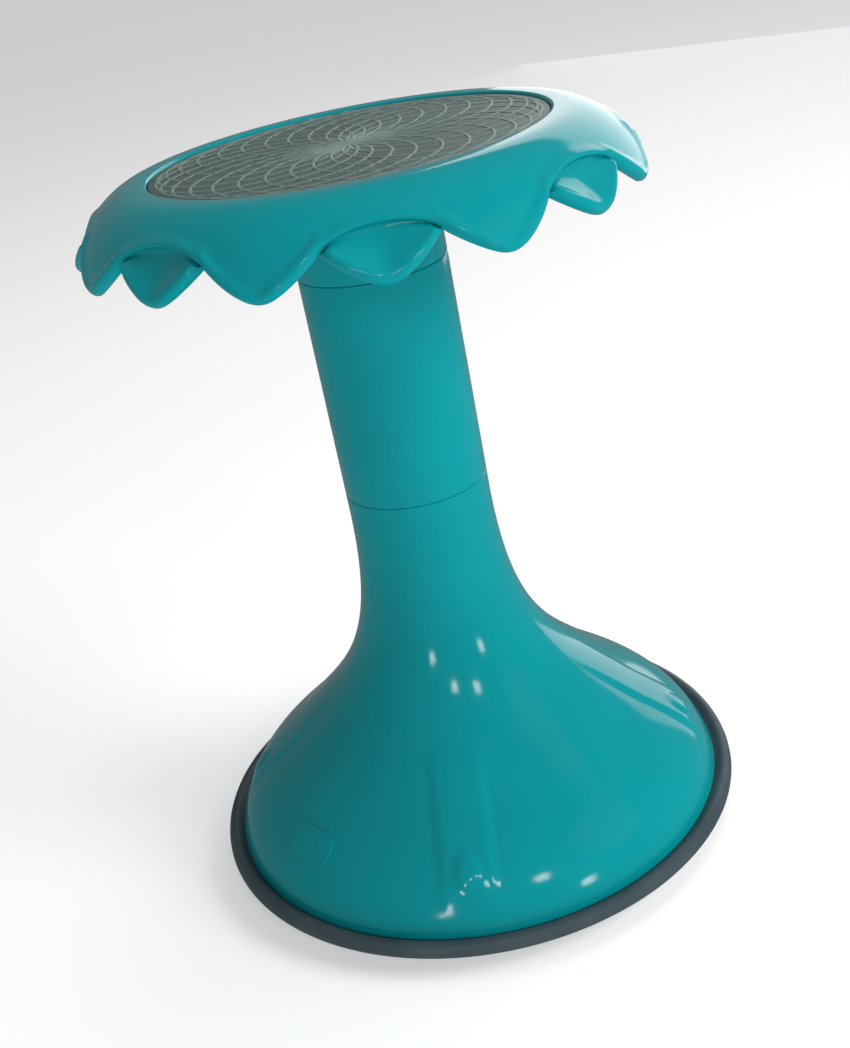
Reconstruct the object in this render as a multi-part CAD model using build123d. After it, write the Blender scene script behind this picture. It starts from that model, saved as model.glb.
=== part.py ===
from build123d import *
import math
import os

# Wobble stool: a petal-skirted seat on a straight column over a flared base,
# which rocks on a domed rubber tread. Millimetres, +Z up, the foot centre at the origin.

# Overall
SEAT_TOP = 451.5
LOWER_SEAM_Z = 244.5
UPPER_SEAM_Z = 381.5

# Column and its plug joints
COLUMN_R = 44.0
COLUMN_BORE_R = 40.0
SPIGOT_R = 39.6
SPIGOT_BORE_R = 35.6
LOWER_SPIGOT_TOP = 291.0
UPPER_SPIGOT_TOP = 428.0
SLEEVE_BOTTOM = 341.0
GRIP_GROOVE_R = 37.6
GRIP_RING_R = 39.9
GRIP_RING_H = 6.0
LOWER_GRIP_Z = 272.0
UPPER_GRIP_Z = 408.0

# Rocking tread
DOME_R = 950.0
FOOT_R = 40.0
TREAD_WALL = 4.5
TREAD_MAX_R = 171.5
TREAD_MAX_Z = 17.5
DOME_EDGE_R = 164.0
RIM_Z = 29.5
RIM_R = 161.0
RIM_INNER_R = 157.0

# Base shell
FLARE_UPPER = [(44.0, 228.0), (45.2, 142.0), (66.0, 120.0), (112.0, 78.0)]
FLARE_LOWER = [(112.0, 78.0), (130.0, 61.6), (153.0, 50.0), (RIM_R, RIM_Z)]
SHELL_WALL = 3.5
RIDGE_COUNT = 4
RIDGE_R = 15.0
RIDGE_FROM = 72.0
RIDGE_TO = 141.0

# Base pan and screws
PAN_R = 156.5
PAN_WALL = 3.5
PAN_CENTRE_R = 64.0
PAN_CENTRE_TOP = 12.0
SCREW_R = 2.0
SCREW_HEAD_R = 4.5
SCREW_HEAD_H = 3.0
HEAD_SEAT_R = 5.2
SHELL_SCREW_CIRCLE_R = 141.0
SHELL_SCREW_SEAT_Z = 17.0
SHELL_POST_R = 6.0
SHELL_POST_BOTTOM = 20.5
POST_SCREW_CIRCLE_R = 50.0
POST_SCREW_SEAT_Z = 8.0
POST_FLANGE_R = 60.0
POST_FLANGE_T = 4.0
POST_BOSS_R = 5.5
POST_BOSS_TOP = 27.0

# Seat
PAD_R = 113.0
PAD_RECESS_R = 113.4
PAD_TOP = 450.0
PAD_T = 3.5
SEAT_WALL = 4.0
TIP_Z = 410.0
NOTCH_Z = 427.6
PETALS = 16
PETAL_ANGLE = 8.8
HUB_FLANGE_R = 60.0
HUB_FLANGE_Z = 430.0
HUB_FLANGE_TOP = 436.0
HUB_SCREW_CIRCLE_R = 51.5
HUB_SCREWS = 6
HUB_BOSS_R = 6.5
SEAT_RIBS = 8
SEAT_RIB_T = 3.0
SEAT_RIB_BOTTOM = 434.5


def dome_z(r):
    # Height of the rocking surface at radius r, with the flat foot at zero
    sink = DOME_R - math.sqrt(DOME_R ** 2 - FOOT_R ** 2)
    return max(0.0, DOME_R - math.sqrt(DOME_R ** 2 - r ** 2) - sink)


def bezier_point(points, t):
    # Point on a cubic curve given by four control points
    w = [(1 - t) ** 3, 3 * t * (1 - t) ** 2, 3 * t ** 2 * (1 - t), t ** 3]
    return sum(a * p[0] for a, p in zip(w, points)), sum(a * p[1] for a, p in zip(w, points))


def flare_point(t):
    # Point on the flare, the upper curve first and then the rounded lower one
    if t < 0.5:
        return bezier_point(FLARE_UPPER, 2 * t)
    return bezier_point(FLARE_LOWER, 2 * t - 1)


def flare_inside(distance, steps):
    # Points a fixed distance inside the flare, towards the axis and down
    result = []
    for i in range(steps + 1):
        t = i / steps
        x0, z0 = flare_point(max(0.0, t - 0.001))
        x1, z1 = flare_point(min(1.0, t + 0.001))
        x, z = flare_point(t)
        length = math.hypot(x1 - x0, z1 - z0)
        result.append((x + distance * (z1 - z0) / length, z - distance * (x1 - x0) / length))
    return result


def xz(points):
    # Profile points as 3-D points in the XZ plane
    return [(p[0], 0, p[1]) for p in points]


def spun(edges):
    # Solid of revolution about Z from a closed chain of edges in the XZ plane
    return revolve(make_face(edges), axis=Axis.Z)


def spun_polygon(points):
    closed = xz(points) + xz(points[:1])
    return spun(Polyline(*closed))


def tube(outer_r, inner_r, z0, z1):
    return spun_polygon([(inner_r, z0), (outer_r, z0), (outer_r, z1), (inner_r, z1)])


def rod(x, y, radius, z0, z1):
    return Pos(x, y, (z0 + z1) / 2) * Cylinder(radius, z1 - z0)


def circle_points(radius, count, start):
    # Points around the axis, angles from the front towards the right
    angles = [math.radians(start + 360 * i / count) for i in range(count)]
    return [(radius * math.sin(a), -radius * math.cos(a)) for a in angles]


def rods(circle_r, count, start, radius, z0, z1):
    solids = [rod(x, y, radius, z0, z1) for x, y in circle_points(circle_r, count, start)]
    return Part() + solids


def screws(circle_r, count, start, seat_z, length):
    # Pan-head screws driven upwards, heads below seat_z
    result = []
    for x, y in circle_points(circle_r, count, start):
        head = fillet_bottom(rod(x, y, SCREW_HEAD_R, seat_z - SCREW_HEAD_H, seat_z))
        slot = Pos(x, y, seat_z - SCREW_HEAD_H) * Box(6, 1.2, 2.4)
        cross = Pos(x, y, seat_z - SCREW_HEAD_H) * Box(1.2, 6, 2.4)
        result.append(head + rod(x, y, SCREW_R, seat_z, seat_z + length) - slot - cross)
    return Part() + result


def fillet_bottom(solid):
    return fillet(solid.edges().group_by(Axis.Z)[0], 1.2)


def dome_points(offset, r_end, steps):
    # Rocking surface shifted up by offset, from the axis out to r_end
    radii = [FOOT_R + (r_end - FOOT_R) * i / steps for i in range(steps + 1)]
    return [(r, dome_z(r) + offset) for r in radii]


def dome_solid(offset, r_end, top_z):
    # Everything above the shifted rocking surface, up to top_z
    curve = dome_points(offset, r_end, 12)
    edges = [
        Line((0, 0, offset), (FOOT_R, 0, offset)),
        Spline(*xz(curve)),
        Line(xz(curve)[-1], (r_end, 0, top_z)),
        Line((r_end, 0, top_z), (0, 0, top_z)),
        Line((0, 0, top_z), (0, 0, offset)),
    ]
    return spun(edges)


def base_tread():
    # Moulded rubber dish: domed underside, thick rolled rim under the shell
    curve = dome_points(0, DOME_EDGE_R, 12)
    edge = curve[-1]
    edges = [
        Line((0, 0, 0), (FOOT_R, 0, 0)),
        Spline(*xz(curve)),
        ThreePointArc((edge[0], 0, edge[1]), (169.8, 0, 14.9), (TREAD_MAX_R, 0, TREAD_MAX_Z)),
        ThreePointArc((TREAD_MAX_R, 0, TREAD_MAX_Z), (168.4, 0, 25.0), (RIM_R, 0, RIM_Z)),
        Line((RIM_R, 0, RIM_Z), (RIM_INNER_R, 0, RIM_Z)),
        Line((RIM_INNER_R, 0, RIM_Z), (0, 0, RIM_Z)),
        Line((0, 0, RIM_Z), (0, 0, 0)),
    ]
    solid = spun(edges) - dome_solid(TREAD_WALL, RIM_INNER_R, RIM_Z + 1)
    pockets = rods(SHELL_SCREW_CIRCLE_R, 4, 0, HEAD_SEAT_R, 13.6, RIM_Z)
    pockets += rods(POST_SCREW_CIRCLE_R, 4, 45, HEAD_SEAT_R, 4.4, RIM_Z)
    return solid - pockets


def base_pan():
    # Rigid dish bonded to the tread, with flat seats for every screw
    solid = dome_solid(TREAD_WALL, PAN_R, RIM_Z) - dome_solid(TREAD_WALL + PAN_WALL, PAN_R + 1, RIM_Z + 1)
    solid += rod(0, 0, PAN_CENTRE_R, 7.6, PAN_CENTRE_TOP)
    solid += rods(SHELL_SCREW_CIRCLE_R, 4, 0, 8.0, 16.0, SHELL_POST_BOTTOM)
    solid -= rods(SHELL_SCREW_CIRCLE_R, 4, 0, HEAD_SEAT_R, 0, SHELL_SCREW_SEAT_Z)
    solid -= rods(SHELL_SCREW_CIRCLE_R, 4, 0, SCREW_R + 0.25, 0, RIM_Z)
    solid -= rods(POST_SCREW_CIRCLE_R, 4, 45, HEAD_SEAT_R, 0, POST_SCREW_SEAT_Z)
    solid -= rods(POST_SCREW_CIRCLE_R, 4, 45, SCREW_R + 0.25, 0, RIM_Z)
    return solid


def flare_solid(offset):
    # Flared bell, filled to the axis, its surface moved inwards by offset
    if offset:
        curves = [Spline(*xz(flare_inside(offset, 16)))]
    else:
        curves = [Bezier(*xz(FLARE_UPPER)), Bezier(*xz(FLARE_LOWER))]
    start = curves[0] @ 0
    end = curves[-1] @ 1
    neck_r = start.X
    edges = [
        Line((0, 0, LOWER_SEAM_Z), (neck_r, 0, LOWER_SEAM_Z)),
        Line((neck_r, 0, LOWER_SEAM_Z), (neck_r, 0, start.Z)),
        *curves,
        Line((end.X, 0, end.Z), (end.X, 0, 0)),
        Line((end.X, 0, 0), (0, 0, 0)),
        Line((0, 0, 0), (0, 0, LOWER_SEAM_Z)),
    ]
    return spun(edges)


def flare_height(radius):
    # Surface height of the flare at a radius
    low, high = 0.0, 1.0
    for _ in range(40):
        mid = (low + high) / 2
        if flare_point(mid)[0] < radius:
            low = mid
        else:
            high = mid
    return flare_point(low)[1]


def ridge(angle):
    # Low rounded ridge running down the flare, ending in a small boss
    steps = 10
    path = []
    for i in range(steps + 1):
        r = RIDGE_FROM + (RIDGE_TO - RIDGE_FROM) * i / steps
        rise = -2.4 + 4.4 * i / steps
        path.append((r, 0, flare_height(r) + rise - RIDGE_R))
    line = Spline(*path)
    solid = sweep(Plane(line @ 0, z_dir=line % 0) * Circle(RIDGE_R), path=line)
    solid += Pos(line @ 1) * Sphere(RIDGE_R)
    return Rot(0, 0, angle) * solid


def base_shell():
    # Thin flared moulding with a straight neck, four ridges and four screw posts
    body = flare_solid(0) - rod(0, 0, RIM_R + 1, -1, RIM_Z)
    hollow = flare_solid(SHELL_WALL) + rod(0, 0, COLUMN_BORE_R, 0, LOWER_SEAM_Z + 1)
    ridges = Part() + [ridge(90 * i) for i in range(RIDGE_COUNT)]
    shell = body + (ridges & tube(158, 60, 30, 140)) - hollow
    posts = rods(SHELL_SCREW_CIRCLE_R, 4, 0, SHELL_POST_R, SHELL_POST_BOTTOM, 60)
    posts = posts & (body + rods(SHELL_SCREW_CIRCLE_R, 4, 0, SHELL_POST_R, SHELL_POST_BOTTOM, RIM_Z + 1))
    shell += posts
    shell -= rods(SHELL_SCREW_CIRCLE_R, 4, 0, SCREW_R, 0, 36)
    rim = shell.edges().filter_by(GeomType.CIRCLE).filter_by(lambda e: abs(e.radius - COLUMN_R) < 0.01)
    return fillet(rim.filter_by(lambda e: abs(e.center().Z - LOWER_SEAM_Z) < 0.01), 0.8)


def base_post():
    # Inner pillar screwed to the pan; its top is the plug for the column
    solid = tube(SPIGOT_R, SPIGOT_BORE_R, PAN_CENTRE_TOP, LOWER_SPIGOT_TOP)
    solid += tube(POST_FLANGE_R, SPIGOT_BORE_R, PAN_CENTRE_TOP, PAN_CENTRE_TOP + POST_FLANGE_T)
    solid += rods(POST_SCREW_CIRCLE_R, 4, 45, POST_BOSS_R, PAN_CENTRE_TOP, POST_BOSS_TOP)
    for i in range(8):
        gusset = Pos(46, 0, 26) * Box(16, 3, 24)
        solid += Rot(0, 0, 22.5 + 45 * i) * gusset
    solid -= rods(POST_SCREW_CIRCLE_R, 4, 45, SCREW_R, 0, POST_BOSS_TOP - 2)
    solid -= rod(0, 0, SPIGOT_BORE_R, 0, LOWER_SPIGOT_TOP)
    groove = tube(SPIGOT_R + 1, GRIP_GROOVE_R, LOWER_GRIP_Z, LOWER_GRIP_Z + GRIP_RING_H)
    return lead_in(solid - groove, LOWER_SPIGOT_TOP)


def lead_in(solid, top_z):
    # Small chamfer on a plug's leading edge
    edges = solid.edges().filter_by(GeomType.CIRCLE).filter_by(lambda e: abs(e.radius - SPIGOT_R) < 0.01)
    return chamfer(edges.filter_by(lambda e: abs(e.center().Z - top_z) < 0.01), 1.2)


def grip_ring(z):
    return tube(GRIP_RING_R, GRIP_GROOVE_R, z, z + GRIP_RING_H)


def column_tube():
    # Middle section of the column
    solid = tube(COLUMN_R, COLUMN_BORE_R, LOWER_SEAM_Z, UPPER_SEAM_Z)
    edges = solid.edges().filter_by(GeomType.CIRCLE).filter_by(lambda e: abs(e.radius - COLUMN_R) < 0.01)
    return fillet(edges, 0.8)


def column_spigot():
    # Sleeve bonded inside the column's top; its upper half is the plug for the seat
    solid = tube(COLUMN_BORE_R, SPIGOT_BORE_R, SLEEVE_BOTTOM, UPPER_SEAM_Z)
    solid += tube(SPIGOT_R, SPIGOT_BORE_R, UPPER_SEAM_Z, UPPER_SPIGOT_TOP)
    groove = tube(SPIGOT_R + 1, GRIP_GROOVE_R, UPPER_GRIP_Z, UPPER_GRIP_Z + GRIP_RING_H)
    return lead_in(solid - groove, UPPER_SPIGOT_TOP)


def seat_hub():
    # Socket collar with a closed flange that carries the seat
    solid = tube(COLUMN_R, COLUMN_BORE_R, UPPER_SEAM_Z, HUB_FLANGE_Z)
    solid += rod(0, 0, HUB_FLANGE_R, HUB_FLANGE_Z, HUB_FLANGE_TOP)
    solid -= rods(HUB_SCREW_CIRCLE_R, HUB_SCREWS, 0, SCREW_R + 0.25, HUB_FLANGE_Z - 1, HUB_FLANGE_TOP + 1)
    edges = solid.edges().filter_by(GeomType.CIRCLE).filter_by(lambda e: abs(e.radius - COLUMN_R) < 0.01)
    return fillet(edges.filter_by(lambda e: abs(e.center().Z - UPPER_SEAM_Z) < 0.01), 0.8)


def seat_profile(offset):
    # Outside of the skirt from the pad recess, over the rim and down to the petal tips
    outer = [(120.5, 451.5), (128.0, 450.2), (138.0, 444.8), (148.5, 436.5), (157.5, 426.0), (161.5, 416.0)]
    inner = [(116.0, 442.5), (126.0, 441.4), (135.5, 441.0), (145.4, 433.6), (153.9, 423.8), (157.6, 415.0)]
    return inner if offset else outer


def skirt_solid():
    outer = seat_profile(False)
    inner = seat_profile(True)
    inner[1] = (126.0, 445.4 - 1.0)
    inner[0] = (117.0, 442.5)
    edges = [
        Line((PAD_RECESS_R, 0, 442.5), (PAD_RECESS_R, 0, 450.2)),
        ThreePointArc((PAD_RECESS_R, 0, 450.2), (115.6, 0, 451.3), (outer[0][0], 0, outer[0][1])),
        Spline(*xz(outer), tangents=[(1, 0, 0), (-0.05, 0, -1)]),
        Line((161.5, 0, 416.0), (160.6, 0, TIP_Z)),
        Line((160.6, 0, TIP_Z), (156.7, 0, TIP_Z)),
        Line((156.7, 0, TIP_Z), (157.6, 0, 415.0)),
        Spline(*xz(inner[::-1]), tangents=[(0.05, 0, 1), (-1, 0, 0)]),
        Line((117.0, 0, 442.5), (PAD_RECESS_R, 0, 442.5)),
    ]
    return spun(edges)


def notch_cutter(angle):
    # Pointed gap between two rounded petal tips, cut straight through the skirt
    half = 31.0
    edges = [
        ThreePointArc((0, 0, NOTCH_Z), (9.5, 0, 416.2), (half, 0, TIP_Z)),
        Line((half, 0, TIP_Z), (half, 0, TIP_Z - 6)),
        Line((half, 0, TIP_Z - 6), (-half, 0, TIP_Z - 6)),
        Line((-half, 0, TIP_Z - 6), (-half, 0, TIP_Z)),
        ThreePointArc((-half, 0, TIP_Z), (-9.5, 0, 416.2), (0, 0, NOTCH_Z)),
    ]
    solid = extrude(Pos(0, -135, 0) * make_face(edges), amount=45, dir=(0, -1, 0))
    return Rot(0, 0, angle) * solid


def seat_shell():
    # Seat moulding: pad recess, rolled rim and a skirt of rounded petals, ribbed below
    floor_z = PAD_TOP - PAD_T
    solid = skirt_solid() + rod(0, 0, PAD_RECESS_R + 1, floor_z - SEAT_WALL, floor_z)
    cutters = [notch_cutter(PETAL_ANGLE + 360 * (i + 0.5) / PETALS) for i in range(PETALS)]
    solid -= Part() + cutters
    ribs = Part()
    for i in range(SEAT_RIBS):
        ribs += Rot(0, 0, 22.5 + 360 * i / SEAT_RIBS) * (Pos(99, 0, 439) * Box(70, SEAT_RIB_T, 9))
    ribs = ribs & rod(0, 0, 134, SEAT_RIB_BOTTOM, 443)
    solid += ribs + tube(66, 63, SEAT_RIB_BOTTOM, 443)
    solid += rods(HUB_SCREW_CIRCLE_R, HUB_SCREWS, 0, HUB_BOSS_R, HUB_FLANGE_TOP, 443)
    solid -= rods(HUB_SCREW_CIRCLE_R, HUB_SCREWS, 0, SCREW_R, 430, 444)
    return solid


def seat_pad():
    # Thin rubber mat laid in the recess
    solid = rod(0, 0, PAD_R, PAD_TOP - PAD_T, PAD_TOP)
    return fillet(solid.edges().group_by(Axis.Z)[-1], 0.8)


os.makedirs("parts", exist_ok=True)
export_step(base_tread(), "parts/base_tread.step")
export_step(base_pan(), "parts/base_pan.step")
export_step(base_shell(), "parts/base_shell.step")
export_step(base_post(), "parts/base_post.step")
shell_fasteners = screws(SHELL_SCREW_CIRCLE_R, 4, 0, SHELL_SCREW_SEAT_Z, 17)
export_step(shell_fasteners, "parts/shell_screws.step")
post_fasteners = screws(POST_SCREW_CIRCLE_R, 4, 45, POST_SCREW_SEAT_Z, 15)
export_step(post_fasteners, "parts/base_post_screws.step")
export_step(grip_ring(LOWER_GRIP_Z), "parts/lower_grip_ring.step")
export_step(column_tube(), "parts/column_tube.step")
export_step(column_spigot(), "parts/column_spigot.step")
export_step(grip_ring(UPPER_GRIP_Z), "parts/upper_grip_ring.step")
export_step(seat_hub(), "parts/seat_hub.step")
export_step(screws(HUB_SCREW_CIRCLE_R, HUB_SCREWS, 0, HUB_FLANGE_Z, 12), "parts/seat_hub_screws.step")
export_step(seat_shell(), "parts/seat_shell.step")
export_step(seat_pad(), "parts/seat_pad.step")
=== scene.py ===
import math

import bmesh
import bpy
from mathutils import Matrix, Vector


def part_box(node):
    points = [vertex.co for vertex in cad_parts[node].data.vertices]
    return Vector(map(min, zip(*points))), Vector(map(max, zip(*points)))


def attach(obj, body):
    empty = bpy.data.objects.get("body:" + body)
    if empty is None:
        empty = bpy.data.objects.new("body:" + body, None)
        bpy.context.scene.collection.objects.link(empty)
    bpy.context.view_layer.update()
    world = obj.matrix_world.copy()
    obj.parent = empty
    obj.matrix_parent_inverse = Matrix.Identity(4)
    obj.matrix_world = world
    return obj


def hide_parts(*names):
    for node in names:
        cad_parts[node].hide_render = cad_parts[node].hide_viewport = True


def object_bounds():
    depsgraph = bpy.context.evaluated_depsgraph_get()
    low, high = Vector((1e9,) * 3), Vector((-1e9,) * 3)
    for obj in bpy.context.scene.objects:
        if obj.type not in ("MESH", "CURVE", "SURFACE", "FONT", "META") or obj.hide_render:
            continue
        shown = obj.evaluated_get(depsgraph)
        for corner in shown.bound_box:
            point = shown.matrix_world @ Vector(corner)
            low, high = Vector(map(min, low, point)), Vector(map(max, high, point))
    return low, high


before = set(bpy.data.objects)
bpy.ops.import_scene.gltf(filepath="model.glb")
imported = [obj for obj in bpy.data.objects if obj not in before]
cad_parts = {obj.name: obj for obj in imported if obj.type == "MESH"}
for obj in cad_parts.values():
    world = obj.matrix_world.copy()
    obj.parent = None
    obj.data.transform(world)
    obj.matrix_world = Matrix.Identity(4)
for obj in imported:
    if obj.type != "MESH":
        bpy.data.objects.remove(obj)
cad_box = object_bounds()

MM = 0.001

# Heights and radii read from the frame
shell_low, shell_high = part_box("base_shell")
tube_low, tube_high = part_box("column_tube")
pad_low, pad_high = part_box("seat_pad")

FLOOR_Z = cad_box[0][2]
LOWER_SEAM = shell_high[2]
RIM_Z = shell_low[2]
RIM_R = shell_high[0]
TREAD_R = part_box("base_tread")[1][0]
TUBE_BOTTOM = tube_low[2]
UPPER_SEAM = tube_high[2]
HUB_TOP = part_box("seat_hub")[1][2]
TIP_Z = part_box("seat_shell")[0][2]
PAD_TOP = pad_high[2]
PAD_BOTTOM = pad_low[2]

# Column
COLUMN_R = 44 * MM
BORE_R = 40 * MM
COLUMN_EDGE = 0.9 * MM
COLUMN_STEPS = 192

# Seat top and underside
CREST_Z = 451.5 * MM
SEAT_UNDER = CREST_Z - 9 * MM
PAD_R = 113 * MM
PAD_EDGE = 0.8 * MM
WELL_R = 113.4 * MM
WELL_EDGE = 1.9 * MM
FLANGE_R = 60 * MM
HUB_SCREW_RING_R = 51.5 * MM
HUB_BOSS_R = 6.5 * MM
WEB_SIZE = (70 * MM, 3 * MM, 8 * MM)
WEB_MIDDLE_R = 99 * MM
RIB_RING_INNER_R = 63 * MM
RIB_RING_OUTER_R = 66 * MM
RIB_RING_EDGE = 0.8 * MM
RIB_RING_DEPTH = 8 * MM

# Rings on the mat
MAT_RINGS = 24
MAT_RING_R = 54.2 * MM
MAT_RING_HALF_WIDTH = 1.15 * MM
MAT_RING_HEIGHT = 0.5 * MM
MAT_RING_SINK = 0.05 * MM

# Seat skirt, its curve's points as (radius, height)
PETALS = 16
PETAL_TURN = math.radians(8.8)
NOTCH_Z = 427.6 * MM
ARCH_Z = 438.5 * MM
BEAD_R = 4.2 * MM
LIP_R = 1.8 * MM
LIP_PROUD = 0.9 * MM
BEAD_TURN = 45
TIP_ROUND = 0.04
EDGE_POWER = 0.62
SKIRT_WALL = 4.2 * MM
SKIRT_TAPER = 0.15
SKIRT = [(121.0 * MM, CREST_Z), (137.0 * MM, CREST_Z), (156.0 * MM, 434.0 * MM), (161.5 * MM, 416.0 * MM)]
SEAT_COLUMNS = 512
SKIRT_RINGS = 26
LIP_RINGS = 12
SPOON_RINGS = 10
EDGE_RINGS = 12
INNER_RINGS = 14

# Base flare, its curves' points as (radius, height)
FLARE_TOP = (44.0 * MM, 228.0 * MM)
FLARE_JOIN = (112.0 * MM, 78.0 * MM)
FLARE_UPPER = [FLARE_TOP, (45.2 * MM, 142.0 * MM), (66.0 * MM, 120.0 * MM), FLARE_JOIN]
FLARE_LOWER = [FLARE_JOIN, (130.0 * MM, 61.6 * MM), (153.0 * MM, 50.0 * MM), (RIM_R, RIM_Z)]
FLARE_WALL = 3.5 * MM
FLARE_COLUMNS = 480
FLARE_RINGS = 90
FLARE_INNER_RINGS = 24
FLARE_SLOPE_STEP = 0.01
RIM_EDGE = 0.8 * MM
RIM_EDGE_RINGS = 4
RIDGES = 4
RIDGE_RISE = 1.5 * MM
BOSS_RISE = 1.6 * MM
BOSS_RING_R = 141.5 * MM

# Blank badge on the flare
BADGE_TURN = math.radians(-45)
BADGE_R = 139 * MM
BADGE_HALF_WIDTH = 19 * MM
BADGE_HALF_HEIGHT = 7.5 * MM
BADGE_CORNER = 7.4 * MM
BADGE_RISE = 0.7 * MM
BADGE_DEPTH = 1.2 * MM

# Tread
DOME_R = 950.0 * MM
FOOT_R = 40.0 * MM
DOME_EDGE_R = 164 * MM
TREAD_WIDEST_Z = 17.5 * MM
TREAD_WALL = 4.5 * MM
TREAD_SOCKET_R = 157 * MM


# ---------------------------------------------------------------- helpers

def bezier(points, t):
    weights = [(1 - t) ** 3, 3 * t * (1 - t) ** 2, 3 * t * t * (1 - t), t ** 3]
    r = sum(w * p[0] for w, p in zip(weights, points))
    z = sum(w * p[1] for w, p in zip(weights, points))
    return r, z


def smooth(edge0, edge1, x):
    t = min(1.0, max(0.0, (x - edge0) / (edge1 - edge0)))
    return t * t * (3 - 2 * t)


def mix(a, b, t):
    return a + (b - a) * t


def arc(centre_r, centre_z, radius, start, end, count):
    # Points on an arc in the profile plane, angles in degrees
    points = []
    for i in range(count + 1):
        a = math.radians(mix(start, end, i / count))
        points.append((centre_r + radius * math.cos(a), centre_z + radius * math.sin(a)))
    return points


def finish_mesh(bm, name, material, body, smooth_shading=True):
    # Turns a bmesh into a piece that rides on a body
    bmesh.ops.remove_doubles(bm, verts=bm.verts, dist=1e-6)
    bmesh.ops.recalc_face_normals(bm, faces=bm.faces)
    mesh = bpy.data.meshes.new(name)
    bm.to_mesh(mesh)
    bm.free()
    for polygon in mesh.polygons:
        polygon.use_smooth = smooth_shading
    piece = bpy.data.objects.new(name, mesh)
    bpy.context.scene.collection.objects.link(piece)
    mesh.materials.append(material)
    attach(piece, body)
    return piece


def spin_profile(points, steps, closed):
    # Spin a chain of (r, z) points about the column's axis
    bm = bmesh.new()
    verts = [bm.verts.new((r, 0.0, z)) for r, z in points]
    pairs = list(zip(verts, verts[1:]))
    if closed:
        pairs.append((verts[-1], verts[0]))
    edges = [bm.edges.new(pair) for pair in pairs]
    bmesh.ops.spin(bm, geom=verts + edges, cent=(0, 0, 0), axis=(0, 0, 1), dvec=(0, 0, 0),
                   angle=2 * math.pi, steps=steps, use_merge=True, use_duplicate=False)
    return bm


def wrapped_grid(columns, rings, place, first_azimuth=0.0):
    # A grid wrapped round the column's axis
    # place(ring, turn) gives a vertex its radius and height, with turn from 0 to 1
    bm = bmesh.new()
    bmesh.ops.create_grid(bm, x_segments=columns, y_segments=rings - 1, size=1.0)
    for vert in bm.verts:
        turn = round((vert.co.x + 1) / 2 * columns) / columns
        r, z = place(round((vert.co.y + 1) / 2 * (rings - 1)), turn)
        azimuth = first_azimuth + 2 * math.pi * turn
        vert.co = (r * math.sin(azimuth), -r * math.cos(azimuth), z)
    return bm


# ---------------------------------------------------------------- materials

def new_material(name):
    material = bpy.data.materials.new(name)
    material.use_nodes = True
    tree = material.node_tree
    tree.nodes.clear()
    out = tree.nodes.new("ShaderNodeOutputMaterial")
    shader = tree.nodes.new("ShaderNodeBsdfPrincipled")
    tree.links.new(shader.outputs["BSDF"], out.inputs["Surface"])
    coords = tree.nodes.new("ShaderNodeTexCoord")
    return material, tree, shader, coords.outputs["Object"]


def noise(tree, coords, scale, detail=2.0):
    node = tree.nodes.new("ShaderNodeTexNoise")
    node.inputs["Scale"].default_value = scale
    node.inputs["Detail"].default_value = detail
    tree.links.new(coords, node.inputs["Vector"])
    return node.outputs["Fac"]


def ramp(tree, value, low, high, color_low, color_high):
    node = tree.nodes.new("ShaderNodeValToRGB")
    node.color_ramp.elements[0].position = low
    node.color_ramp.elements[1].position = high
    node.color_ramp.elements[0].color = (*color_low, 1)
    node.color_ramp.elements[1].color = (*color_high, 1)
    tree.links.new(value, node.inputs["Fac"])
    return node.outputs["Color"]


def map_range(tree, value, low, high):
    node = tree.nodes.new("ShaderNodeMapRange")
    node.inputs["To Min"].default_value = low
    node.inputs["To Max"].default_value = high
    tree.links.new(value, node.inputs["Value"])
    return node.outputs["Result"]


def bump(tree, shader, height, strength, distance):
    node = tree.nodes.new("ShaderNodeBump")
    node.inputs["Strength"].default_value = strength
    node.inputs["Distance"].default_value = distance
    tree.links.new(height, node.inputs["Height"])
    tree.links.new(node.outputs["Normal"], shader.inputs["Normal"])


def teal_plastic():
    # Glossy moulded plastic, faint flow variation and a fine moulded ripple
    material, tree, shader, coords = new_material("teal_plastic")
    flow = noise(tree, coords, 9.0)
    color = ramp(tree, flow, 0.3, 0.7, (0.0, 0.290, 0.325), (0.0, 0.325, 0.362))
    tree.links.new(color, shader.inputs["Base Color"])
    rough = map_range(tree, noise(tree, coords, 60.0), 0.08, 0.13)
    tree.links.new(rough, shader.inputs["Roughness"])
    shader.inputs["IOR"].default_value = 1.38
    bump(tree, shader, noise(tree, coords, 220.0), 0.05, 0.0004)
    return material


def dark_plastic():
    # Matt, fine-grained plastic of the hidden parts
    material, tree, shader, coords = new_material("dark_plastic")
    mottle = noise(tree, coords, 30.0)
    color = ramp(tree, mottle, 0.3, 0.7, (0.008, 0.009, 0.010), (0.014, 0.015, 0.017))
    tree.links.new(color, shader.inputs["Base Color"])
    shader.inputs["Roughness"].default_value = 0.55
    bump(tree, shader, noise(tree, coords, 1500.0), 0.2, 0.0003)
    return material


def tread_rubber():
    # Matt grey-blue rubber with scuffs and a fine grain
    material, tree, shader, coords = new_material("tread_rubber")
    scuffs = noise(tree, coords, 25.0, 5.0)
    color = ramp(tree, scuffs, 0.3, 0.75, (0.036, 0.064, 0.078), (0.066, 0.098, 0.112))
    tree.links.new(color, shader.inputs["Base Color"])
    rough = map_range(tree, noise(tree, coords, 18.0, 4.0), 0.42, 0.62)
    tree.links.new(rough, shader.inputs["Roughness"])
    bump(tree, shader, noise(tree, coords, 1400.0, 3.0), 0.25, 0.0003)
    return material


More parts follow.
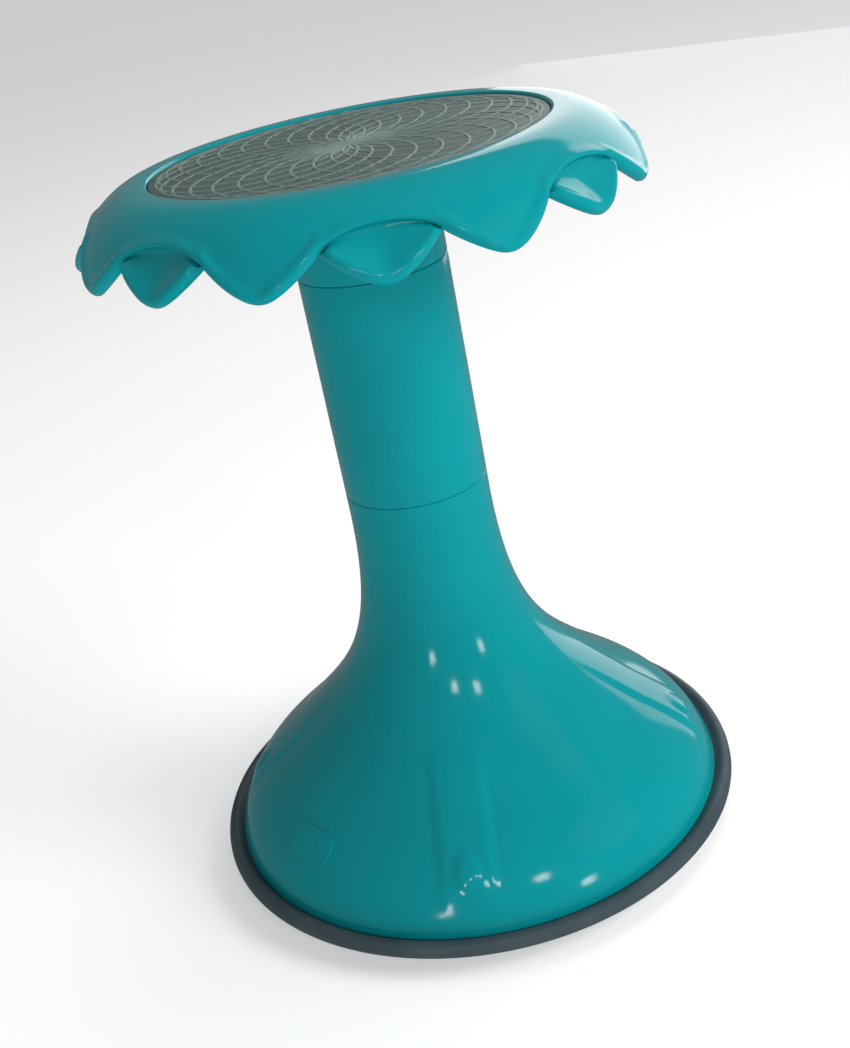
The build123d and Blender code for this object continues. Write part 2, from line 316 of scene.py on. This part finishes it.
def ring_rubber():
    # Black rubber of the grip rings
    material, tree, shader, coords = new_material("ring_rubber")
    mottle = noise(tree, coords, 80.0)
    color = ramp(tree, mottle, 0.3, 0.7, (0.006, 0.006, 0.006), (0.013, 0.013, 0.013))
    tree.links.new(color, shader.inputs["Base Color"])
    shader.inputs["Roughness"].default_value = 0.7
    bump(tree, shader, noise(tree, coords, 1200.0), 0.2, 0.0002)
    return material


def screw_steel():
    # Plated steel
    material, tree, shader, coords = new_material("screw_steel")
    plating = noise(tree, coords, 200.0)
    color = ramp(tree, plating, 0.3, 0.7, (0.45, 0.45, 0.46), (0.60, 0.60, 0.62))
    tree.links.new(color, shader.inputs["Base Color"])
    shader.inputs["Metallic"].default_value = 1.0
    shader.inputs["Roughness"].default_value = 0.32
    return material


def mat_rubber(name, dark, light, strength):
    # Grey-green rubber with fine streaks that run outwards, and painted sheen that makes it paler in the
    # middle
    material, tree, shader, coords = new_material(name)
    flat = tree.nodes.new("ShaderNodeVectorMath")
    flat.operation = "MULTIPLY"
    flat.inputs[1].default_value = (1, 1, 0)
    tree.links.new(coords, flat.inputs[0])
    outwards = tree.nodes.new("ShaderNodeVectorMath")
    outwards.operation = "NORMALIZE"
    tree.links.new(flat.outputs["Vector"], outwards.inputs[0])
    streaks = noise(tree, outwards.outputs["Vector"], 42.0, 6.0)
    flecks = noise(tree, coords, 420.0, 3.0)
    both = tree.nodes.new("ShaderNodeMath")
    both.operation = "MULTIPLY"
    tree.links.new(streaks, both.inputs[0])
    tree.links.new(flecks, both.inputs[1])
    color = ramp(tree, both.outputs["Value"], 0.15, 0.42, dark, light)
    # Painted sheen: towards the middle the colour is mixed to a pale green, fading out between 8 and 40 mm
    # from the centre
    radius = tree.nodes.new("ShaderNodeVectorMath")
    radius.operation = "LENGTH"
    tree.links.new(flat.outputs["Vector"], radius.inputs[0])
    centre = tree.nodes.new("ShaderNodeMapRange")
    centre.interpolation_type = "SMOOTHSTEP"
    centre.inputs["From Min"].default_value = 0.008
    centre.inputs["From Max"].default_value = 0.040
    centre.inputs["To Min"].default_value = 0.85
    centre.inputs["To Max"].default_value = 0.0
    tree.links.new(radius.outputs["Value"], centre.inputs["Value"])
    painted_sheen = tree.nodes.new("ShaderNodeMix")
    painted_sheen.data_type = "RGBA"
    painted_sheen.inputs["B"].default_value = (0.21, 0.29, 0.26, 1)
    tree.links.new(centre.outputs["Result"], painted_sheen.inputs["Factor"])
    tree.links.new(color, painted_sheen.inputs["A"])
    tree.links.new(painted_sheen.outputs["Result"], shader.inputs["Base Color"])
    shader.inputs["Roughness"].default_value = 0.5
    bump(tree, shader, both.outputs["Value"], strength, 0.0005)
    return material


TEAL = teal_plastic()
DARK = dark_plastic()
TREAD = tread_rubber()
RING = ring_rubber()
STEEL = screw_steel()
MAT = mat_rubber("mat_rubber", (0.050, 0.085, 0.085), (0.130, 0.180, 0.175), 0.5)
MAT_RIB = mat_rubber("mat_rib_rubber", (0.130, 0.200, 0.180), (0.210, 0.290, 0.260), 0.2)


# ---------------------------------------------------------------- seat

def skirt_curve(t):
    return bezier(SKIRT, t)


def skirt_share(z):
    # Where on the skirt's curve the height is z
    low, high = 0.0, 1.0
    for _ in range(24):
        t = (low + high) / 2
        if skirt_curve(t)[1] > z:
            low = t
        else:
            high = t
    return low


def skirt_radius(z):
    # Outer radius of the skirt at height z, tapering in below the curve's end
    end_r, end_z = SKIRT[-1]
    if z <= end_z:
        return end_r - SKIRT_TAPER * (end_z - z)
    return skirt_curve(skirt_share(z))[0]


def petal_at(turn):
    # Distance across the petal, -1 to 1, and whether this petal is set back
    index = round(turn * PETALS)
    return 2 * (turn * PETALS - index), index % 2 == 0


def edge_height(across):
    # Lower edge of a petal: round tip, steep sides, pointed notch
    tip = TIP_ROUND ** EDGE_POWER
    rise = (across * across + TIP_ROUND) ** EDGE_POWER - tip
    whole = (1 + TIP_ROUND) ** EDGE_POWER - tip
    return mix(TIP_Z, NOTCH_Z, rise / whole)


def seat_top_rings():
    # Floor and wall of the mat's well, and the soft edge round it
    rings = [(0.0, PAD_BOTTOM), (60 * MM, PAD_BOTTOM), (PAD_R, PAD_BOTTOM)]
    rings += [(WELL_R, PAD_BOTTOM + 0.4 * MM), (WELL_R, CREST_Z - 2.2 * MM)]
    rings += arc(WELL_R + WELL_EDGE, CREST_Z - WELL_EDGE, WELL_EDGE, 165, 90, 4)
    rings += [(118.0 * MM, CREST_Z + 0.02 * MM)]
    return rings


def seat_bottom_rings():
    # Flat underside, from the skirt inwards
    return [(r, SEAT_UNDER) for r in (128 * MM, 118 * MM, RIB_RING_OUTER_R, 0.0)]


TOP_RINGS = seat_top_rings()
BOTTOM_RINGS = seat_bottom_rings()


def seat_column(across, set_back):
    # The whole section through the seat at one azimuth
    v = abs(across)
    edge = edge_height(across)
    corner = smooth(0.80, 1.0, v)
    if set_back:
        lip_z = mix(NOTCH_Z + BEAD_R, ARCH_Z, 1 - v ** 2.2)
        lip_r = mix(LIP_R, BEAD_R, corner)
        lip_end = -100
    else:
        lip_z = edge + BEAD_R
        lip_r = BEAD_R
        lip_end = -180
    points = list(TOP_RINGS)
    # Skirt down to the lip, which stands slightly proud
    centre = skirt_radius(lip_z) + LIP_PROUD - lip_r
    join_r = centre + lip_r * math.cos(math.radians(BEAD_TURN))
    join_z = lip_z + lip_r * math.sin(math.radians(BEAD_TURN))
    pull = join_r - skirt_radius(join_z)
    end = skirt_share(join_z)
    for i in range(SKIRT_RINGS):
        share = 1 - (1 - i / (SKIRT_RINGS - 1)) ** 1.35
        r, z = skirt_curve(end * share)
        points.append((r + pull * (1 - smooth(0.0, 4.0 * MM, z - join_z)), z))
    points += arc(centre, lip_z, lip_r, BEAD_TURN, lip_end, LIP_RINGS)[1:]
    # Spoon face of a set-back petal, or the inside of an outer one
    start_r, start_z = points[-1]
    depth = 1.0 * MM + 2.2 * MM * (1 - v * v)
    if set_back:
        edge_r = mix(BEAD_R, 2.0 * MM, corner)
        edge_turn = BEAD_TURN * (1 - corner)
        outside = skirt_radius(edge + edge_r) + (LIP_PROUD - 3.6 * MM * corner)
        rim = arc(outside - edge_r, edge + edge_r, edge_r, edge_turn, -180, EDGE_RINGS)
        for i in range(1, SPOON_RINGS + 1):
            s = i / SPOON_RINGS
            hollow = 0.10 * (start_z - rim[0][1]) * math.sin(math.pi * s) * (1 - v * v)
            r = mix(start_r - depth * 0.3, rim[0][0], s) - hollow
            r = mix(start_r, r, min(1.0, s * 5))
            points.append((r, mix(start_z, rim[0][1], s)))
        points += rim[1:]
    else:
        for i in range(1, SPOON_RINGS + EDGE_RINGS + 1):
            points.append((start_r, start_z + 0.08 * MM * i))
    # Inside of the skirt, up to the underside of the rim
    start_r, start_z = points[-1]
    under = BOTTOM_RINGS[0]
    for i in range(1, INNER_RINGS + 1):
        s = i / (INNER_RINGS + 1)
        z = mix(start_z, under[1], s)
        r = skirt_radius(z) - SKIRT_WALL
        if set_back:
            r -= depth * (1 - smooth(ARCH_Z - 4 * MM, ARCH_Z + 6 * MM, z))
        r = mix(start_r, r, smooth(0, 0.3, s))
        r = mix(r, under[0], smooth(0.75, 1.0, s) * 0.6)
        points.append((r, z))
    return points + BOTTOM_RINGS


def petal_seat():
    # Round moulding with proud petals and set-back ones in turn
    cache = {}

    def place(k, turn):
        across, set_back = petal_at(turn)
        key = (round(across, 5), set_back)
        if key not in cache:
            cache[key] = seat_column(across, set_back)
        return cache[key][k]

    rings = len(seat_column(0.0, False))
    bm = wrapped_grid(SEAT_COLUMNS, rings, place, PETAL_TURN)
    piece = finish_mesh(bm, "petal_seat", TEAL, "seat")
    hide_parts("seat_shell")


def seat_ribs():
    # Webs under the seat, and the bosses for its screws
    bm = bmesh.new()
    place = Matrix.Translation((WEB_MIDDLE_R, 0, SEAT_UNDER - WEB_SIZE[2] / 2))
    web = place @ Matrix.Diagonal((*WEB_SIZE, 1))
    for i in range(8):
        turn = Matrix.Rotation(math.radians(22.5 + 45 * i), 4, "Z")
        made = bmesh.ops.create_cube(bm, size=1.0, matrix=turn @ web)
        edges = list({e for v in made["verts"] for e in v.link_edges})
        bmesh.ops.bevel(bm, geom=edges, offset=0.6 * MM, segments=2, profile=0.5, affect="EDGES", material=-1)
    for i in range(6):
        a = math.radians(60 * i)
        x = HUB_SCREW_RING_R * math.sin(a)
        y = -HUB_SCREW_RING_R * math.cos(a)
        at = Matrix.Translation((x, y, (HUB_TOP + SEAT_UNDER) / 2))
        bmesh.ops.create_cone(bm, cap_ends=True, segments=32, radius1=HUB_BOSS_R, radius2=HUB_BOSS_R,
                              depth=SEAT_UNDER - HUB_TOP + 0.4 * MM, matrix=at)
    piece = finish_mesh(bm, "seat_ribs", TEAL, "seat", False)
    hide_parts("seat_shell")


def seat_rib_ring():
    # Round rib that the webs run out from
    edge = RIB_RING_EDGE
    edge_z = SEAT_UNDER - RIB_RING_DEPTH + edge
    profile = [(RIB_RING_INNER_R, SEAT_UNDER), (RIB_RING_OUTER_R, SEAT_UNDER)]
    profile += arc(RIB_RING_OUTER_R - edge, edge_z, edge, 0, -90, 3)
    profile += arc(RIB_RING_INNER_R + edge, edge_z, edge, -90, -180, 3)
    piece = finish_mesh(spin_profile(profile, 128, True), "seat_rib_ring", TEAL, "seat")
    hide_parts("seat_shell")


def seat_collar():
    # Socket collar below the seat, with its flange
    bore_edge = 0.8 * MM
    fillet = 2.5 * MM
    flange_edge = 1 * MM
    flange_under = HUB_TOP - 6 * MM
    mouth = UPPER_SEAM + bore_edge
    profile = [(BORE_R, mouth)] + arc(BORE_R + bore_edge, mouth, bore_edge, 180, 270, 3)
    profile += arc(COLUMN_R - COLUMN_EDGE, UPPER_SEAM + COLUMN_EDGE, COLUMN_EDGE, -90, 0, 5)
    profile += [(COLUMN_R, UPPER_SEAM + 20 * MM), (COLUMN_R, flange_under - fillet)]
    profile += arc(COLUMN_R + fillet, flange_under - fillet, fillet, 180, 90, 5)
    profile += arc(FLANGE_R - flange_edge, flange_under + flange_edge, flange_edge, -90, 0, 3)
    profile += arc(FLANGE_R - flange_edge, HUB_TOP - flange_edge, flange_edge, 0, 90, 3)
    profile += [(0.0, HUB_TOP), (0.0, flange_under), (BORE_R, flange_under)]
    bm = spin_profile(profile, COLUMN_STEPS, True)
    piece = finish_mesh(bm, "seat_collar", TEAL, "seat")
    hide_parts("seat_hub")


def seat_mat():
    # Round rubber mat with a soft edge
    profile = [(0.0, PAD_BOTTOM), (PAD_R, PAD_BOTTOM), (PAD_R, PAD_TOP - PAD_EDGE)]
    profile += arc(PAD_R - PAD_EDGE, PAD_TOP - PAD_EDGE, PAD_EDGE, 0, 90, 4)
    profile += [(100 * MM, PAD_TOP), (60 * MM, PAD_TOP), (0.0, PAD_TOP)]
    piece = finish_mesh(spin_profile(profile, 256, False), "seat_mat", MAT, "seat")
    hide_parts("seat_pad")


def mat_ring_section():
    # Low half round that sits just in the mat
    section = []
    for i in range(7):
        a = math.pi * i / 6
        r = MAT_RING_R + MAT_RING_HALF_WIDTH * math.cos(a)
        section.append((r, PAD_TOP + MAT_RING_HEIGHT * math.sin(a) - MAT_RING_SINK))
    return section


def mat_ribs():
    # Overlapping raised rings, all through the mat's centre
    bm = bmesh.new()
    section = mat_ring_section()
    for i in range(MAT_RINGS):
        verts = [bm.verts.new((r, 0, z)) for r, z in section]
        edges = [bm.edges.new(pair) for pair in zip(verts, verts[1:] + verts[:1])]
        known = set(bm.verts) - set(verts)
        bmesh.ops.spin(bm, geom=verts + edges, cent=(0, 0, 0), axis=(0, 0, 1), dvec=(0, 0, 0),
                       angle=2 * math.pi, steps=96, use_merge=True, use_duplicate=False)
        ring = [v for v in bm.verts if v not in known]
        a = 2 * math.pi * i / MAT_RINGS
        bmesh.ops.translate(bm, verts=ring, vec=(MAT_RING_R * math.cos(a), MAT_RING_R * math.sin(a), 0))
    piece = finish_mesh(bm, "mat_ribs", MAT_RIB, "seat")
    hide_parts("seat_pad")


# ---------------------------------------------------------------- column

def column_section():
    # Middle tube, with its rounded edges at the two seams
    edge = COLUMN_EDGE
    profile = arc(COLUMN_R - edge, TUBE_BOTTOM + edge, edge, -90, 0, 5)
    profile += [(COLUMN_R, mix(TUBE_BOTTOM, UPPER_SEAM, s)) for s in (0.25, 0.5, 0.75)]
    profile += arc(COLUMN_R - edge, UPPER_SEAM - edge, edge, 0, 90, 5)
    profile += [(BORE_R, UPPER_SEAM), (BORE_R, TUBE_BOTTOM)]
    bm = spin_profile(profile, COLUMN_STEPS, True)
    piece = finish_mesh(bm, "column_section", TEAL, "column")
    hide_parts("column_tube")


# ---------------------------------------------------------------- base

def flare_at(t):
    # Point on the flare, the upper curve first and then the rounded lower one
    if t < 0.5:
        return bezier(FLARE_UPPER, 2 * t)
    return bezier(FLARE_LOWER, 2 * t - 1)


def flare_normal(t):
    # Unit vector out of the flare's surface
    r0, z0 = flare_at(max(0, t - FLARE_SLOPE_STEP))
    r1, z1 = flare_at(min(1, t + FLARE_SLOPE_STEP))
    length = math.hypot(r1 - r0, z1 - z0)
    return -(z1 - z0) / length, (r1 - r0) / length


def outer_rings():
    # From the neck's bore over the flare to the rolled edge at the rim
    rings = [(BORE_R, LOWER_SEAM - 2 * MM), (BORE_R, LOWER_SEAM)]
    rings += arc(COLUMN_R - COLUMN_EDGE, LOWER_SEAM - COLUMN_EDGE, COLUMN_EDGE, 90, 0, 5)
    rings += [(COLUMN_R, mix(LOWER_SEAM, FLARE_TOP[1], s)) for s in (0.3, 0.6, 0.85)]
    rings += [flare_at(i / FLARE_RINGS) for i in range(FLARE_RINGS)]
    rings += [(RIM_R, RIM_Z + 0.9 * MM)]
    rings += arc(RIM_R - RIM_EDGE, RIM_Z + RIM_EDGE, RIM_EDGE, 0, -90, RIM_EDGE_RINGS - 1)
    return rings


def inner_rings():
    # Up the inside of the wall
    rings = []
    for i in range(FLARE_INNER_RINGS, -1, -1):
        t = i / FLARE_INNER_RINGS
        r, z = flare_at(t)
        out_r, out_z = flare_normal(t)
        rings.append((r - FLARE_WALL * out_r, max(RIM_Z, z - FLARE_WALL * out_z)))
    return rings


def ridge_rise(azimuth, r):
    # Low ridges down the flare, each ending in a small round boss
    step = 2 * math.pi / RIDGES
    offset = (azimuth / step - round(azimuth / step)) * step
    sideways = r * math.sin(offset)
    along = r * math.cos(offset)
    flank = 1 - smooth(12 * MM, 20 * MM, abs(sideways))
    length = smooth(72 * MM, 112 * MM, along) * (1 - smooth(142 * MM, 157 * MM, along))
    boss_r = math.hypot(sideways, along - BOSS_RING_R)
    boss = 1 - smooth(3 * MM, 10 * MM, boss_r)
    return RIDGE_RISE * flank * length + BOSS_RISE * boss


def base_bell():
    # Flared shell with its neck, ridges and bosses
    outer = outer_rings()
    rings = outer + inner_rings() + outer[:1]
    raised = len(outer) - RIM_EDGE_RINGS
    normals = []
    for i, (r, z) in enumerate(rings):
        before = rings[max(0, i - 1)]
        after = rings[min(len(rings) - 1, i + 1)]
        dr, dz = after[0] - before[0], after[1] - before[1]
        length = math.hypot(dr, dz) or 1.0
        normals.append((-dz / length, dr / length))

    def place(k, turn):
        r, z = rings[k]
        if k < raised:
            rise = ridge_rise(2 * math.pi * turn, r)
            return r + normals[k][0] * rise, z + normals[k][1] * rise
        return r, z

    bm = wrapped_grid(FLARE_COLUMNS, len(rings), place)
    piece = finish_mesh(bm, "base_bell", TEAL, "base")
    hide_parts("base_shell")


def dome_height(r):
    # Height of the dome above its flat foot
    sink = DOME_R - math.sqrt(DOME_R ** 2 - FOOT_R ** 2)
    return max(0.0, DOME_R - math.sqrt(DOME_R ** 2 - r * r) - sink)


def rocker_tread():
    # Domed rubber tread with a rolled rim
    profile = [(0.0, FLOOR_Z), (FOOT_R * 0.5, FLOOR_Z)]
    for i in range(17):
        r = mix(FOOT_R, DOME_EDGE_R, i / 16)
        profile.append((r, FLOOR_Z + dome_height(r)))
    edge = profile[-1]
    widest = (TREAD_R, TREAD_WIDEST_Z)
    below = [edge, (168.5 * MM, edge[1] + 0.9 * MM), (TREAD_R, TREAD_WIDEST_Z - 2.6 * MM), widest]
    profile += [bezier(below, i / 8) for i in range(1, 9)]
    above = [widest, (TREAD_R, TREAD_WIDEST_Z + 5 * MM), (168.0 * MM, 28.0 * MM), (RIM_R, RIM_Z)]
    profile += [bezier(above, i / 8) for i in range(1, 9)]
    profile += [(TREAD_SOCKET_R, RIM_Z), (TREAD_SOCKET_R, TREAD_WIDEST_Z)]
    for i in range(11):
        r = mix(TREAD_SOCKET_R - 1 * MM, FOOT_R, i / 10)
        profile.append((r, FLOOR_Z + dome_height(r) + TREAD_WALL))
    profile += [(0.0, FLOOR_Z + TREAD_WALL)]
    piece = finish_mesh(spin_profile(profile, 256, False), "rocker_tread", TREAD, "base")
    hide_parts("base_tread")


def flare_point(r):
    # Point on the flare at radius r, and the unit vector out of its surface there
    low, high = 0.0, 1.0
    for _ in range(30):
        t = (low + high) / 2
        if flare_at(t)[0] < r:
            low = t
        else:
            high = t
    return flare_at(low), flare_normal(low)


def rounded_corner(x, y):
    # Pulls a point near the badge's corner onto a quarter circle
    straight_x = BADGE_HALF_WIDTH - BADGE_CORNER
    straight_y = BADGE_HALF_HEIGHT - BADGE_CORNER
    over_x = abs(x) - straight_x
    over_y = abs(y) - straight_y
    if over_x <= 0 or over_y <= 0:
        return x, y
    scale = max(over_x, over_y) / math.hypot(over_x, over_y)
    return math.copysign(straight_x + over_x * scale, x), math.copysign(straight_y + over_y * scale, y)


def blank_badge():
    # Rounded blank plate that follows the flare
    bm = bmesh.new()
    bmesh.ops.create_grid(bm, x_segments=28, y_segments=14, size=1.0)
    for vert in bm.verts:
        x, y = rounded_corner(vert.co.x * BADGE_HALF_WIDTH, vert.co.y * BADGE_HALF_HEIGHT)
        (r, z), (out_r, out_z) = flare_point(BADGE_R - y)
        azimuth = BADGE_TURN + x / BADGE_R
        r += out_r * BADGE_RISE
        vert.co = (r * math.sin(azimuth), -r * math.cos(azimuth), z + out_z * BADGE_RISE)
    sides = bmesh.ops.extrude_edge_only(bm, edges=[e for e in bm.edges if e.is_boundary])
    for vert in [g for g in sides["geom"] if isinstance(g, bmesh.types.BMVert)]:
        r = math.hypot(vert.co.x, vert.co.y)
        out_r, out_z = flare_point(r)[1]
        scale = (r - out_r * BADGE_DEPTH) / r
        vert.co = (vert.co.x * scale, vert.co.y * scale, vert.co.z - out_z * BADGE_DEPTH)
    bmesh.ops.holes_fill(bm, edges=[e for e in bm.edges if e.is_boundary], sides=0)
    piece = finish_mesh(bm, "blank_badge", TEAL, "base")
    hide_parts("base_shell")
    bevel = piece.modifiers.new("edge", "BEVEL")
    bevel.width = 0.3 * MM
    bevel.segments = 3
    bevel.limit_method = "ANGLE"
    bevel.angle_limit = math.radians(50)


petal_seat()
seat_ribs()
seat_rib_ring()
seat_collar()
seat_mat()
mat_ribs()
column_section()
base_bell()
rocker_tread()
blank_badge()

# Parts that keep the frame's own meshes
KEPT_NODES = {
    "base_post": DARK,
    "base_pan": DARK,
    "column_spigot": DARK,
    "lower_grip_ring": RING,
    "upper_grip_ring": RING,
    "base_post_screws": STEEL,
    "shell_screws": STEEL,
    "seat_hub_screws": STEEL,
}
for node, material in KEPT_NODES.items():
    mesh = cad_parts[node].data
    mesh.materials.clear()
    mesh.materials.append(material)


# ---------------------------------------------------------------- stage

def studio_floor():
    # Wide pale floor just under the foot
    bm = bmesh.new()
    bmesh.ops.create_grid(bm, x_segments=1, y_segments=1, size=60.0)
    mesh = bpy.data.meshes.new("floor")
    bm.to_mesh(mesh)
    bm.free()
    floor = bpy.data.objects.new("floor", mesh)
    floor.location.z = FLOOR_Z - 0.2 * MM
    floor.visible_glossy = False
    bpy.context.scene.collection.objects.link(floor)
    material, _, shader, _ = new_material("floor_paint")
    shader.inputs["Base Color"].default_value = (0.9, 0.9, 0.9, 1)
    shader.inputs["Roughness"].default_value = 0.9
    shader.inputs["Emission Color"].default_value = (1, 1, 1, 1)
    shader.inputs["Emission Strength"].default_value = 0.42
    mesh.materials.append(material)


def area_light(name, place, target, size, power, glossy=True, diffuse=True):
    # Square light at a place, aimed at a target
    data = bpy.data.lights.new(name, "AREA")
    data.shape = "RECTANGLE"
    data.size = size
    data.size_y = size
    data.energy = power
    light = bpy.data.objects.new(name, data)
    light.location = place
    light.visible_glossy = glossy
    light.visible_diffuse = diffuse
    light.visible_camera = False
    light.rotation_euler = (Vector(target) - Vector(place)).to_track_quat("-Z", "Y").to_euler()
    bpy.context.scene.collection.objects.link(light)


def camera():
    # Looks down at the upright stool, rolled so that it appears to lean
    distance, height = 0.7955, 0.5852
    pitch, roll, yaw = math.radians(25.12), math.radians(-11.46), math.radians(6.5)
    forward = Vector((0, math.cos(pitch), -math.sin(pitch)))
    level_right = Vector((1, 0, 0))
    level_up = Vector((0, math.sin(pitch), math.cos(pitch)))
    right = math.cos(roll) * level_right + math.sin(roll) * level_up
    up = -math.sin(roll) * level_right + math.cos(roll) * level_up
    basis = Matrix((right, up, -forward)).transposed().to_4x4()
    turn = Matrix.Rotation(yaw, 4, "Z")
    data = bpy.data.cameras.new("camera")
    data.lens = 48.22
    data.sensor_width = 36.0
    view = bpy.data.objects.new("camera", data)
    view.matrix_world = turn @ Matrix.Translation((0, -distance, height)) @ basis
    bpy.context.scene.collection.objects.link(view)
    bpy.context.scene.camera = view


def studio():
    # Soft light from the right and above, a bright sky that only reflects, and small window panes
    world = bpy.data.worlds.new("studio")
    world.use_nodes = True
    background = world.node_tree.nodes["Background"]
    background.inputs["Color"].default_value = (1, 1, 1, 1)
    background.inputs["Strength"].default_value = 0.20
    bpy.context.scene.world = world
    aim = (0, 0, 0.25)
    area_light("window", (2.6, -0.9, 2.0), aim, size=1.6, power=60, glossy=False)
    area_light("ceiling", (0.6, 0.5, 2.6), aim, size=1.6, power=18, glossy=False)
    area_light("sky", (1.23, 2.64, 0.95), (0, 0, 0.3), size=2.6, power=34, diffuse=False)
    flare = Vector((0, -0.06, 0.14))
    distance = 3.0
    for azimuth, height in ((-17, 11), (3, 28), (27, 30), (44, 9)):
        a, e = math.radians(azimuth), math.radians(height)
        x = distance * math.sin(a) * math.cos(e)
        y = -distance * math.cos(a) * math.cos(e)
        z = flare.z + distance * math.sin(e)
        area_light("pane", (x, y, z), flare, size=0.30, power=4.0)


studio_floor()
studio()
camera()
bpy.context.scene.view_settings.view_transform = "Standard"
